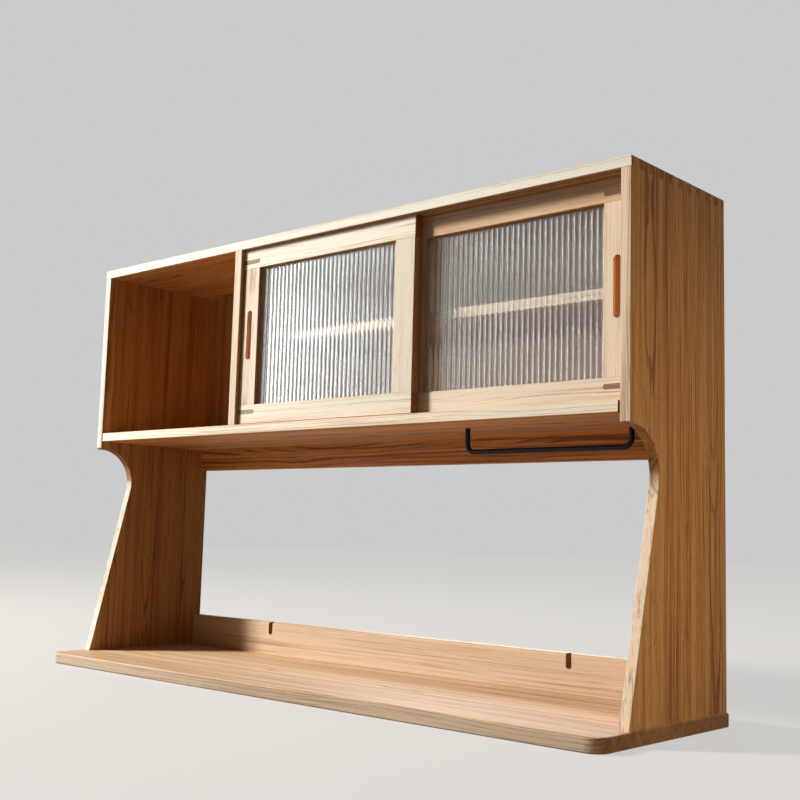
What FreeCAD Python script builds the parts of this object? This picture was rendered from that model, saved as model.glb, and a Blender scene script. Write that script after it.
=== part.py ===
import FreeCAD
import Part
import math
import os

# An oak kitchen hutch on its worktop. Two tall sides with a curved throat carry a long box
# with an open cubby on the left and, on the right, a cupboard behind two sliding doors of
# reeded glass. Two rails tie the sides together at the back, and a bent rod hangs below.
#
# Lengths are millimetres. X runs right from the left side's outer face, Y runs back from the
# front of the box, and Z runs up from the worktop's underside. Each piece is moved at the end
# so that the origin is the middle of the underside.

Vector = FreeCAD.Vector
RIGHT = Vector(1, 0, 0)
BACK = Vector(0, 1, 0)
UP = Vector(0, 0, 1)

# Working values of the whole model
overrun = 2.0
tolerance = 0.01
fit = 0.05

# Carcass
width = 1500.0
depth = 330.0
board = 20.0
niche_height = 503.0
box_inner_height = 388.0
cubby_width = 477.0
partition_thickness = 22.0
arris = 1.5
corner_round = 3.0

# Worktop
worktop_thickness = 25.0
worktop_overhang = 90.0
worktop_side_overhang = 4.0
worktop_corner = 30.0
worktop_arris = 3.0

# Outline of the sides
nose_drop = 19.0
nose_flat = 14.0
nose_round = 4.0
throat_radius = 80.0

# Finger joint between the top and the sides
pin_count = 9
pin_width = 14.5

# Housing of the bottom board in the sides
housing_depth = 6.0
housing_setback = 12.0
shadow_gap = 3.5

# Backs
back_thickness = 9.0
back_inset = 2.0
back_rebate = 8.0
back_clearance = 0.5
back_screw_radius = 1.5
back_screw_head = 3.0
back_screw_length = 21.0
cubby_screw_shares = (0.25, 0.75)
cupboard_screw_shares = (0.12, 0.37, 0.63, 0.88)
back_side_screw_share = 0.42

# Rails at the back
back_rail_thickness = 20.0
upper_rail_height = 53.0
lower_rail_height = 76.0
lower_rail_round = 5.0
cable_slot_width = 13.5
cable_slot_depth = 30.0
cable_slot_inset = 319.0

# Dowels
dowel_radius = 4.0
dowel_length = 30.0
dowel_in_board = 12.0
partition_dowel_shares = (0.2, 0.5, 0.8)
rail_dowel_shares = (0.3, 0.7)
side_dowel_shares = (0.2, 0.8)

# Worktop fixings
worktop_screw_radius = 2.5
worktop_screw_head = 5.0
worktop_screw_length = 55.0
side_screw_share = 0.5
rail_screw_shares = (0.12, 0.5, 0.88)
base_insert_radius = 5.0
base_insert_bore = 3.0
base_insert_length = 15.0
base_insert_inset_x = 150.0
base_insert_inset_y = 70.0

# Shelf inside the cupboard
shelf_thickness = 20.0
shelf_level = 184.0
shelf_setback = 60.0
shelf_gap = 0.8
shelf_pin_radius = 2.5
shelf_pin_length = 16.0
shelf_pin_inset = 40.0

# Rod under the box
rod_radius = 5.0
rod_span = 361.0
rod_right_inset = 70.5
rod_setback = 123.5
rod_drop = 46.0
rod_bend = 16.0
rod_stud_radius = 2.5
rod_stud_length = 13.0
rod_insert_radius = 4.0
rod_insert_length = 14.0

# Sliding doors and their grooves
door_thickness = 19.0
door_setback = 9.0
door_pass_gap = 3.0
door_side_gap = 1.5
door_overlap = 42.0
head_gap = 3.4
sill_gap = 1.8
rail_height = 41.0
stile_width = 50.0
door_arris = 0.8
tongue_thickness = 8.0
tongue_setback = 2.5
head_engagement = 5.0
head_groove = 11.0
sill_groove = 3.2
groove_clearance = 0.5
glide_thickness = 1.2
glide_clearance = 0.2
glide_length = 40.0
glide_inset = 60.0
tenon_length = 25.0
tenon_width = 30.0
tenon_thickness = 7.0

# Finger pulls and corner keys of the doors
pull_width = 15.0
pull_length = 108.0
pull_depth = 7.0
pull_inset = 23.5
pull_lift = 3.0
key_length = 50.0
key_height = 9.5
key_depth = 5.0
key_offset = 15.5

# Glazing of the doors
glass_lip = 8.0
glass_rebate = 8.0
glass_thickness = 5.0
glass_clearance = 1.0
rib_pitch = 12.0
rib_depth = 1.8
bead_pin_radius = 0.8
bead_pin_length = 17.0
long_bead_pin_shares = (0.15, 0.5, 0.85)
short_bead_pin_shares = (0.25, 0.75)

# Levels and planes that follow from the sizes above
deck = worktop_thickness
box_floor = deck + niche_height
floor_top = box_floor + board
ceiling = floor_top + box_inner_height
top = ceiling + board
right_inner = width - board
partition_left = board + cubby_width
partition_right = partition_left + partition_thickness
partition_middle = partition_left + partition_thickness / 2
back_face = depth - back_inset - back_thickness
back_outer = depth - back_inset
rail_middle = depth - back_rail_thickness / 2
shelf_underside = floor_top + shelf_level
door_width = (right_inner - partition_right - 2 * door_side_gap + door_overlap) / 2
door_foot = floor_top + sill_gap
door_head = ceiling - head_gap
opening_foot = door_foot + rail_height
opening_head = door_head - rail_height
rear_door_setback = door_setback + door_thickness + door_pass_gap
mirror_plane = Vector(width / 2, 0, 0)
origin = Vector(width / 2, (depth - worktop_overhang) / 2, 0)


# General shapes

def box(x0, x1, y0, y1, z0, z1):
    """Block between three pairs of planes."""
    return Part.makeBox(x1 - x0, y1 - y0, z1 - z0, Vector(x0, y0, z0))


def rounded(shape, radius, chosen):
    """Shape with the edges that the test chooses rounded off."""
    return shape.makeFillet(radius, [edge for edge in shape.Edges if chosen(edge)])


def is_near(value, target):
    """Whether two lengths are the same but for rounding."""
    return abs(value - target) < tolerance


def front_edges(along, y):
    """Test for the straight edges on the plane at y that run along a direction."""
    def chosen(edge):
        run = edge.Vertexes[-1].Point - edge.Vertexes[0].Point
        return is_near(edge.CenterOfMass.y, y) and is_near(abs(run.dot(along)), edge.Length)
    return chosen


def cut(shape, tools):
    """Single solid left after the tools are cut away."""
    return shape.cut(tools).Solids[0]


def mirrored(shapes):
    """The shapes on the other end of the hutch."""
    return [shape.mirror(mirror_plane, RIGHT) for shape in shapes]


def peg(radius, start, axis, length):
    """Round peg from a start point."""
    return Part.makeCylinder(radius, length, start, axis)


def peg_hole(radius, start, axis, length):
    """Hole that clears such a peg all round by the fit."""
    return Part.makeCylinder(radius + fit, length + 2 * fit, start - axis * fit, axis)


def screw(radius, head, start, axis, length):
    """Countersunk screw whose head is flush at the start point."""
    cone = Part.makeCone(head, radius, head - radius, start, axis)
    return cone.fuse(peg(radius, start, axis, length)).removeSplitter().Solids[0]


def screw_hole(radius, head, start, axis, length):
    """Hole that clears such a screw by the fit."""
    return screw(radius + fit, head + fit, start, axis, length + fit)


# Fixings, each as a list of places that gives the solids and their holes

def dowels(places, axis):
    """Solids and holes of the dowels that start at the places."""
    solids = [peg(dowel_radius, place, axis, dowel_length) for place in places]
    holes = [peg_hole(dowel_radius, place, axis, dowel_length) for place in places]
    return solids, holes


def partition_dowel_places():
    """Dowels at the foot and at the head of the partition."""
    places = []
    for share in partition_dowel_shares:
        y = share * back_face
        places.append(Vector(partition_middle, y, floor_top - dowel_in_board))
        places.append(Vector(partition_middle, y, ceiling + dowel_in_board - dowel_length))
    return places


def rail_dowel_places():
    """Dowels at the left ends of both back rails."""
    places = []
    for foot, height in ((deck, lower_rail_height), (box_floor - upper_rail_height, upper_rail_height)):
        for share in rail_dowel_shares:
            places.append(Vector(board - dowel_in_board, rail_middle, foot + share * height))
    return places


def side_dowel_places():
    """Dowels between the worktop and the left side."""
    return [Vector(board / 2, share * depth, deck - dowel_in_board) for share in side_dowel_shares]


def worktop_screw_places():
    """Screws up through the worktop into the sides and the lower rail."""
    side_y = side_screw_share * depth
    places = [Vector(board / 2, side_y, 0), Vector(width - board / 2, side_y, 0)]
    places += [Vector(share * width, rail_middle, 0) for share in rail_screw_shares]
    return places


def back_screw_places(left, right, edges, shares):
    """Screws round one back panel, whose side screws lie at the two edges."""
    low = floor_top - back_rebate / 2
    high = ceiling + back_rebate / 2
    places = []
    for share in shares:
        x = left + share * (right - left)
        places.append(Vector(x, back_outer, low))
        places.append(Vector(x, back_outer, high))
    z = low + back_side_screw_share * (high - low)
    places += [Vector(x, back_outer, z) for x in edges]
    return places


def all_back_screw_places():
    """Screws of the cubby's back and of the cupboard's back."""
    outer = board - back_rebate / 2
    quarter = partition_thickness / 4
    cubby = back_screw_places(board, partition_left,
                              (outer, partition_middle - quarter), cubby_screw_shares)
    cupboard = back_screw_places(partition_right, right_inner,
                                 (partition_middle + quarter, width - outer), cupboard_screw_shares)
    return cubby + cupboard


def shelf_pin_starts():
    """Left ends of the pins under the shelf, in the partition and in the right side."""
    z = shelf_underside - shelf_pin_radius - fit
    starts = []
    for x in (partition_right, right_inner):
        for y in (shelf_setback + shelf_pin_inset, back_face - shelf_pin_inset):
            starts.append(Vector(x - shelf_pin_length / 2, y, z))
    return starts


def rod_ends():
    """Points on the box's underside where the rod's two legs end."""
    right = width - rod_right_inset
    return [Vector(x, rod_setback, box_floor) for x in (right - rod_span, right)]


def base_insert_places():
    """Centres of the four sockets in the worktop's underside."""
    places = []
    for x in (base_insert_inset_x, width - base_insert_inset_x):
        for y in (base_insert_inset_y - worktop_overhang, depth - base_insert_inset_y):
            places.append(Vector(x, y, 0))
    return places


partition_dowels, partition_dowel_holes = dowels(partition_dowel_places(), UP)
rail_dowels, rail_dowel_holes = dowels(rail_dowel_places(), RIGHT)
rail_dowels += mirrored(rail_dowels)
rail_dowel_holes += mirrored(rail_dowel_holes)
side_dowels, side_dowel_holes = dowels(side_dowel_places(), UP)
side_dowels += mirrored(side_dowels)
side_dowel_holes += mirrored(side_dowel_holes)

worktop_screw_size = (worktop_screw_radius, worktop_screw_head)
worktop_screws = [screw(*worktop_screw_size, place, UP, worktop_screw_length)
                  for place in worktop_screw_places()]
worktop_screw_holes = [screw_hole(*worktop_screw_size, place, UP, worktop_screw_length)
                       for place in worktop_screw_places()]

back_screw_size = (back_screw_radius, back_screw_head)
back_screws = [screw(*back_screw_size, place, -BACK, back_screw_length)
               for place in all_back_screw_places()]
back_screw_holes = [screw_hole(*back_screw_size, place, -BACK, back_screw_length)
                    for place in all_back_screw_places()]

shelf_pins = [peg(shelf_pin_radius, start, RIGHT, shelf_pin_length) for start in shelf_pin_starts()]
shelf_pin_holes = [peg_hole(shelf_pin_radius, start, RIGHT, shelf_pin_length)
                   for start in shelf_pin_starts()]


def sockets(places, radius, bore, length):
    """Threaded sockets as plain tubes, with the holes that they sit in."""
    solids = []
    holes = []
    for place in places:
        solids.append(cut(peg(radius, place, UP, length), [peg(bore, place, UP, length)]))
        holes.append(peg_hole(radius, place, UP, length))
    return solids, holes


rod_inserts, rod_insert_holes = sockets(rod_ends(), rod_insert_radius, rod_stud_radius + fit,
                                        rod_insert_length)
base_inserts, base_insert_holes = sockets(base_insert_places(), base_insert_radius,
                                          base_insert_bore, base_insert_length)


# Finger joint of the top and the left side

def joint_sockets():
    """What the left side loses at its head: a slot for each pin, and for half a pin at the front and rear."""
    pitch = depth / (pin_count + 1)
    slots = []
    for index in range(pin_count + 2):
        front = max(pitch * index - pin_width / 2, 0)
        rear = min(pitch * index + pin_width / 2, depth)
        slots.append(box(0, board, front, rear, ceiling, top))
    return slots


def joint_tails():
    """Head of the left side that the top board is cut round."""
    return box(0, board, 0, depth, ceiling, top).cut(joint_sockets())


def corner_trim():
    """Waste outside the rounded upper left corner."""
    block = box(-overrun, corner_round, -overrun, depth + overrun, top - corner_round, top + overrun)
    middle = Vector(corner_round, -overrun, top - corner_round)
    return block.cut([peg(corner_round, middle, BACK, depth + 2 * overrun)])


def back_pocket():
    """Rebate that both backs lie in, open to the rear."""
    outer = board - back_rebate
    return box(outer, width - outer, back_face, depth + overrun,
               floor_top - back_rebate, ceiling + back_rebate)


# Boards of the carcass

def side_outline():
    """Face of the left side: nose, throat and sloping front edge."""
    def point(y, z):
        return Vector(0, y, z)

    def turn(centre_y, centre_z, radius, angle):
        return point(centre_y + radius * math.cos(angle), centre_z + radius * math.sin(angle))

    nose = box_floor - nose_drop
    throat_z = nose - throat_radius
    reach = math.hypot(nose_flat, throat_z - deck)
    slope = math.atan2(nose_flat, throat_z - deck) + math.asin(throat_radius / reach)
    foot = point(0, deck)
    slope_end = turn(nose_flat, throat_z, throat_radius, -slope)
    throat_middle = turn(nose_flat, throat_z, throat_radius, (math.pi / 2 - slope) / 2)
    throat_end = point(nose_flat, nose)
    nose_start = point(nose_round, nose)
    nose_middle = turn(nose_round, nose + nose_round, nose_round, math.pi * 5 / 4)
    nose_end = point(0, nose + nose_round)
    head = point(0, top)
    rear_head = point(depth, top)
    rear_foot = point(depth, deck)
    curves = [Part.LineSegment(foot, slope_end),
              Part.Arc(slope_end, throat_middle, throat_end),
              Part.LineSegment(throat_end, nose_start),
              Part.Arc(nose_start, nose_middle, nose_end),
              Part.LineSegment(nose_end, head),
              Part.LineSegment(head, rear_head),
              Part.LineSegment(rear_head, rear_foot),
              Part.LineSegment(rear_foot, foot)]
    return Part.Face(Part.Wire([curve.toShape() for curve in curves]))


def side_board():
    """Left side with its joint, housing and rebate, but no holes yet."""
    def on_front(edge):
        centre = edge.CenterOfMass
        across = edge.BoundBox.XLength > tolerance
        level = is_near(centre.z, top) or is_near(centre.z, deck)
        return not (across or level or is_near(centre.y, depth))

    blank = rounded(side_outline().extrude(RIGHT * board), arris, on_front)
    housing = box(board - housing_depth, board + overrun, housing_setback, depth + overrun,
                  box_floor, floor_top)
    return cut(blank, joint_sockets() + [corner_trim(), housing, back_pocket()])


def sides():
    """Both sides with the holes for everything that enters them."""
    left = side_board()
    right = mirrored([left])[0]
    holes = rail_dowel_holes + side_dowel_holes + worktop_screw_holes + back_screw_holes
    return {"left_side": cut(left, holes),
            "right_side": cut(right, holes + shelf_pin_holes)}


def door_grooves(low, high):
    """The two grooves that guide the doors, between two levels."""
    grooves = []
    for setback in (door_setback, rear_door_setback):
        front = setback + tongue_setback
        grooves.append(box(partition_right, right_inner, front - groove_clearance,
                           front + tongue_thickness + groove_clearance, low, high))
    return grooves


def top_board():
    """Top with its pins and deep door grooves."""
    blank = rounded(box(0, width, 0, depth, ceiling, top), arris, front_edges(RIGHT, 0))
    ends = [joint_tails(), corner_trim()]
    waste = ends + mirrored(ends) + door_grooves(ceiling - overrun, ceiling + head_groove)
    return cut(blank, waste + [back_pocket()] + partition_dowel_holes + back_screw_holes)


def bottom_board():
    """Floor of the box, housed in the sides, with shadow gaps at its front corners."""
    end = board - housing_depth
    lip_end = board + shadow_gap
    main = box(end, width - end, housing_setback, depth, box_floor, floor_top)
    lip = rounded(box(lip_end, width - lip_end, 0, housing_setback, box_floor, floor_top),
                  arris, front_edges(RIGHT, 0))
    whole = main.fuse(lip).removeSplitter()
    waste = door_grooves(floor_top - sill_groove, floor_top + overrun) + [back_pocket()]
    return cut(whole, waste + partition_dowel_holes + rod_insert_holes + back_screw_holes)


def partition():
    """Upright board between the cubby and the cupboard."""
    blank = rounded(box(partition_left, partition_right, 0, back_face, floor_top, ceiling),
                    arris, front_edges(UP, 0))
    return cut(blank, partition_dowel_holes + shelf_pin_holes + back_screw_holes)


def back_panel(left, right):
    """One back panel between two planes."""
    low = floor_top - back_rebate + back_clearance
    high = ceiling + back_rebate - back_clearance
    return cut(box(left, right, back_face, back_outer, low, high), back_screw_holes)


def backs():
    """The two backs, which meet behind the partition."""
    outer = board - back_rebate + back_clearance
    return {"cubby_back": back_panel(outer, partition_middle),
            "cupboard_back": back_panel(partition_middle, width - outer)}


def cable_slots():
    """Slots with round bottoms, open at the lower rail's top edge."""
    slots = []
    front = depth - back_rail_thickness - overrun
    half = cable_slot_width / 2
    high = deck + lower_rail_height
    centre = high - cable_slot_depth + half
    for x in (cable_slot_inset, width - cable_slot_inset):
        slots.append(box(x - half, x + half, front, depth + overrun, centre, high + overrun))
        slots.append(peg(half, Vector(x, front, centre), BACK, back_rail_thickness + 2 * overrun))
    return slots


def back_rails():
    """Rails between the sides, under the box and on the worktop."""
    front = depth - back_rail_thickness

    def at_level(z):
        chosen = front_edges(RIGHT, front)
        return lambda edge: chosen(edge) and is_near(edge.CenterOfMass.z, z)

    upper_foot = box_floor - upper_rail_height
    lower_head = deck + lower_rail_height
    upper = rounded(box(board, right_inner, front, depth, upper_foot, box_floor),
                    arris, at_level(upper_foot))
    lower = rounded(box(board, right_inner, front, depth, deck, lower_head),
                    lower_rail_round, at_level(lower_head))
    return {"upper_back_rail": cut(upper, rail_dowel_holes),
            "lower_back_rail": cut(lower, rail_dowel_holes + worktop_screw_holes + cable_slots())}


def inner_shelf():
    """Loose shelf on its pins."""
    blank = box(partition_right + shelf_gap, right_inner - shelf_gap, shelf_setback,
                back_face - shelf_gap, shelf_underside, shelf_underside + shelf_thickness)
    return rounded(blank, arris, front_edges(RIGHT, shelf_setback))


def towel_rail():
    """Rod bent down, along and up again, with a stud on each end."""
    left, right = rod_ends()
    low = box_floor - rod_drop
    high = low + rod_bend

    def bend(x, towards):
        centre = Vector(x + towards * rod_bend, rod_setback, high)
        reach = rod_bend * math.sqrt(2) / 2
        middle = centre + Vector(-towards * reach, 0, -reach)
        return Part.Arc(Vector(x, rod_setback, high), middle, centre - UP * rod_bend)

    path = [Part.LineSegment(left, Vector(left.x, rod_setback, high)),
            bend(left.x, 1),
            Part.LineSegment(Vector(left.x + rod_bend, rod_setback, low),
                             Vector(right.x - rod_bend, rod_setback, low)),
            bend(right.x, -1),
            Part.LineSegment(Vector(right.x, rod_setback, high), right)]
    spine = Part.Wire(Part.sortEdges([curve.toShape() for curve in path])[0])
    section = Part.Wire(Part.Circle(left, UP, rod_radius).toShape())
    rod = spine.makePipeShell([section], True, False)
    studs = [peg(rod_stud_radius, end, UP, rod_stud_length) for end in (left, right)]
    return rod.fuse(studs).removeSplitter().Solids[0]


def worktop():
    """Worktop with round front corners and its sockets underneath."""
    left = -worktop_side_overhang
    right = width + worktop_side_overhang
    front = -worktop_overhang
    inner = front + worktop_corner
    reach = worktop_corner * (1 - math.sqrt(2) / 2)
    curves = [Part.LineSegment(Vector(left, depth, 0), Vector(left, inner, 0)),
              Part.Arc(Vector(left, inner, 0), Vector(left + reach, front + reach, 0),
                       Vector(left + worktop_corner, front, 0)),
              Part.LineSegment(Vector(left + worktop_corner, front, 0),
                               Vector(right - worktop_corner, front, 0)),
              Part.Arc(Vector(right - worktop_corner, front, 0),
                       Vector(right - reach, front + reach, 0), Vector(right, inner, 0)),
              Part.LineSegment(Vector(right, inner, 0), Vector(right, depth, 0)),
              Part.LineSegment(Vector(right, depth, 0), Vector(left, depth, 0))]
    outline = Part.Face(Part.Wire([curve.toShape() for curve in curves]))

    def on_rim(edge):
        return edge.BoundBox.ZLength < tolerance and not is_near(edge.CenterOfMass.y, depth)

    blank = rounded(outline.extrude(UP * worktop_thickness), worktop_arris, on_rim)
    return cut(blank, side_dowel_holes + worktop_screw_holes + base_insert_holes)


# Sliding doors

def door(side, left, front):
    """All pieces of one door, whose outer stile is on the side named."""
    back = front + door_thickness
    right = left + door_width

    def span(start, end):
        """Stretch of X between two distances from the door's outer edge."""
        if side == "left":
            return left + start, left + end
        return right - end, right - start

    def outward(inset):
        """X at a distance from the door's outer edge."""
        return span(inset, inset)[0]

    pocket_start = stile_width - glass_rebate
    pocket_end = door_width - pocket_start
    pocket_foot = opening_foot - glass_rebate
    pocket_head = opening_head + glass_rebate
    pocket = box(*span(pocket_start, pocket_end), front + glass_lip, back + overrun,
                 pocket_foot, pocket_head)
    tenon_front = front + (door_thickness - tenon_thickness) / 2
    tenon_start = (stile_width - glass_rebate - tenon_width) / 2
    tongue_front = front + tongue_setback
    tongue_back = tongue_front + tongue_thickness
    sill_end = floor_top - sill_groove + glide_clearance + glide_thickness
    bead_front = front + glass_lip + glass_thickness + fit

    def tenon(start, gap):
        """Tenons at both ends of the stile that starts there, or their mortises."""
        return box(*span(start - gap, start + tenon_width + gap), tenon_front - gap,
                   tenon_front + tenon_thickness + gap,
                   opening_foot - tenon_length - gap, opening_head + tenon_length + gap)

    outer_tenon = tenon_start
    inner_tenon = door_width - tenon_start - tenon_width
    mortises = [tenon(outer_tenon, fit), tenon(inner_tenon, fit)]

    def stile(start, tenon_at, recesses):
        """Upright of the frame with a tenon at each end."""
        blank = rounded(box(*span(start, start + stile_width), front, back, opening_foot, opening_head),
                        door_arris, front_edges(UP, front))
        whole = blank.fuse(tenon(tenon_at, 0)).removeSplitter()
        return cut(whole, [pocket] + recesses + bead_pin_holes)

    def rail(foot, head, tongue_foot, tongue_head, key_level):
        """Frame rail with its tongue, its mortises and the place for a corner key."""
        blank = rounded(box(left, right, front, back, foot, head), door_arris,
                        front_edges(RIGHT, front))
        tongue = box(left, right, tongue_front, tongue_back, tongue_foot, tongue_head)
        whole = blank.fuse(tongue).removeSplitter()
        return cut(whole, [pocket, corner_key(key_level, overrun)] + mortises + bead_pin_holes)

    def corner_key(level, proud):
        """Inlay from the outer edge, round at its inner end, or the recess for it."""
        half = key_height / 2
        start = front - proud
        straight = box(*span(-proud, key_length - half), start, front + key_depth,
                       level - half, level + half)
        nose = peg(half, Vector(outward(key_length - half), start, level), BACK, key_depth + proud)
        return straight.fuse(nose).removeSplitter().Solids[0]

    def finger_pull():
        """Blind obround recess in the outer stile."""
        half = pull_width / 2
        middle = (opening_foot + opening_head) / 2 + pull_lift
        low = middle - pull_length / 2 + half
        high = middle + pull_length / 2 - half
        x = outward(pull_inset)
        start = front - overrun
        recess = [box(x - half, x + half, start, front + pull_depth, low, high)]
        recess += [peg(half, Vector(x, start, z), BACK, pull_depth + overrun) for z in (low, high)]
        return recess

    def glass():
        """Reeded pane: round ribs in front and a flat back."""
        x0, x1 = span(pocket_start + glass_clearance, pocket_end - glass_clearance)
        low = pocket_foot + glass_clearance
        high = pocket_head - glass_clearance
        rear = front + glass_lip + glass_thickness
        valley = front + glass_lip + rib_depth
        count = int((x1 - x0) / rib_pitch)
        start = (x0 + x1 - count * rib_pitch) / 2
        end = start + count * rib_pitch
        curves = [Part.LineSegment(Vector(x0, rear, low), Vector(x0, valley, low)),
                  Part.LineSegment(Vector(x0, valley, low), Vector(start, valley, low))]
        for index in range(count):
            x = start + index * rib_pitch
            curves.append(Part.Arc(Vector(x, valley, low),
                                   Vector(x + rib_pitch / 2, valley - rib_depth, low),
                                   Vector(x + rib_pitch, valley, low)))
        curves += [Part.LineSegment(Vector(end, valley, low), Vector(x1, valley, low)),
                   Part.LineSegment(Vector(x1, valley, low), Vector(x1, rear, low)),
                   Part.LineSegment(Vector(x1, rear, low), Vector(x0, rear, low))]
        outline = Part.Face(Part.Wire([curve.toShape() for curve in curves]))
        return outline.extrude(UP * (high - low))

    def bead_pins():
        """Pins driven outwards through the beads into the frame, with their holes."""
        y = (bead_front + back) / 2
        places = []
        for share in long_bead_pin_shares:
            x = outward(pocket_start + share * (pocket_end - pocket_start))
            places.append((Vector(x, y, opening_foot), -UP))
            places.append((Vector(x, y, opening_head), UP))
        for share in short_bead_pin_shares:
            z = opening_foot + share * (opening_head - opening_foot)
            x0, x1 = span(stile_width, door_width - stile_width)
            places.append((Vector(x0, y, z), -RIGHT))
            places.append((Vector(x1, y, z), RIGHT))
        solids = [peg(bead_pin_radius, place, axis, bead_pin_length) for place, axis in places]
        holes = [peg_hole(bead_pin_radius, place, axis, bead_pin_length) for place, axis in places]
        return solids, holes

    def beads():
        """Four strips that hold the pane against the lip."""
        x0, x1 = span(pocket_start, pocket_end)
        strips = [box(x0, x1, bead_front, back, pocket_foot, opening_foot),
                  box(x0, x1, bead_front, back, opening_head, pocket_head),
                  box(x0, x0 + glass_rebate, bead_front, back, opening_foot, opening_head),
                  box(x1 - glass_rebate, x1, bead_front, back, opening_foot, opening_head)]
        return [cut(strip, bead_pin_holes) for strip in strips]

    def glides():
        """Two slippery pads under the door's lower tongue."""
        pads = []
        for start in (glide_inset, door_width - glide_inset - glide_length):
            pads.append(box(*span(start, start + glide_length), tongue_front + groove_clearance,
                            tongue_back - groove_clearance, sill_end - glide_thickness, sill_end))
        return pads

    pins, bead_pin_holes = bead_pins()
    foot_key = opening_foot - key_offset
    head_key = opening_head + key_offset
    return {
        side + "_door_top_rail": rail(opening_head, door_head, door_head, ceiling + head_engagement,
                                      head_key),
        side + "_door_bottom_rail": rail(door_foot, opening_foot, sill_end, door_foot, foot_key),
        side + "_door_outer_stile": stile(0, outer_tenon, finger_pull()),
        side + "_door_inner_stile": stile(door_width - stile_width, inner_tenon, []),
        side + "_door_glass": glass(),
        side + "_door_glazing_beads": Part.makeCompound(beads()),
        side + "_door_bead_pins": Part.makeCompound(pins),
        side + "_door_corner_keys": Part.makeCompound([corner_key(foot_key, 0), corner_key(head_key, 0)]),
        side + "_door_glides": Part.makeCompound(glides()),
    }


# The whole hutch, one entry for each node

pieces = {
    "worktop": worktop(),
    "top_board": top_board(),
    "bottom_board": bottom_board(),
    "partition": partition(),
    "inner_shelf": inner_shelf(),
    "towel_rail": towel_rail(),
    "towel_rail_inserts": Part.makeCompound(rod_inserts),
    "base_inserts": Part.makeCompound(base_inserts),
    "shelf_pins": Part.makeCompound(shelf_pins),
    "partition_dowels": Part.makeCompound(partition_dowels),
    "back_rail_dowels": Part.makeCompound(rail_dowels),
    "side_dowels": Part.makeCompound(side_dowels),
    "worktop_screws": Part.makeCompound(worktop_screws),
    "back_screws": Part.makeCompound(back_screws),
}
pieces.update(sides())
pieces.update(backs())
pieces.update(back_rails())
pieces.update(door("left", partition_right + door_side_gap, door_setback))
pieces.update(door("right", right_inner - door_side_gap - door_width, rear_door_setback))

os.makedirs("parts", exist_ok=True)
for name, shape in pieces.items():
    placed = shape.translated(-origin)
    placed.exportStep(os.path.join("parts", name + ".step"))
    print(name, len(placed.Solids), placed.isValid(), round(placed.Volume / 1000, 2), "cm3")
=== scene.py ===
"""Dresses the oak kitchen hutch: board finishes with painted light on their front and upper faces, ribbed
panes, rod, fixings and the studio.
"""
from __future__ import annotations

import logging
import math
from dataclasses import dataclass, field, replace
from enum import Enum
from typing import Iterable, Union

import bmesh
import bpy
from mathutils import Matrix, Vector


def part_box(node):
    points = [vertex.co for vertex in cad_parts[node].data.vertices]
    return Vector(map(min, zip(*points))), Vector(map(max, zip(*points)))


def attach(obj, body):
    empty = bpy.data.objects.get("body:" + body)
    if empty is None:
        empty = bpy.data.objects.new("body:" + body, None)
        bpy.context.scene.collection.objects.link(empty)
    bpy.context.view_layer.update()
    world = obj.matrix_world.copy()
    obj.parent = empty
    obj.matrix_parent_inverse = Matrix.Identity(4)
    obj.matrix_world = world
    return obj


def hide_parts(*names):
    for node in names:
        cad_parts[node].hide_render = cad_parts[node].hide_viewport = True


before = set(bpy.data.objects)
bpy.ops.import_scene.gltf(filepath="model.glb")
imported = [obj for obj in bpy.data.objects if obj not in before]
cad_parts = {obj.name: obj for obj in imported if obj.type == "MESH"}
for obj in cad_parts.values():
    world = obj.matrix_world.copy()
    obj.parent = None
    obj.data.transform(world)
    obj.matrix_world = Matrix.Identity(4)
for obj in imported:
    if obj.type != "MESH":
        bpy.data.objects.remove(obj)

LOG = logging.getLogger("hutch")
PATCH_STEP = (0.3, 0.7)
Colour = tuple[float, float, float]
Socket = bpy.types.NodeSocket
Feed = Union[Socket, float, int]


class Axis(Enum):
    """Direction of the hutch's frame, as an index into a point."""

    X = 0
    Y = 1
    Z = 2


class Sawing(Enum):
    """How a board was sawn from the log, which decides the figure on its face."""

    FLAT = "flat"
    RIFT = "rift"


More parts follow.
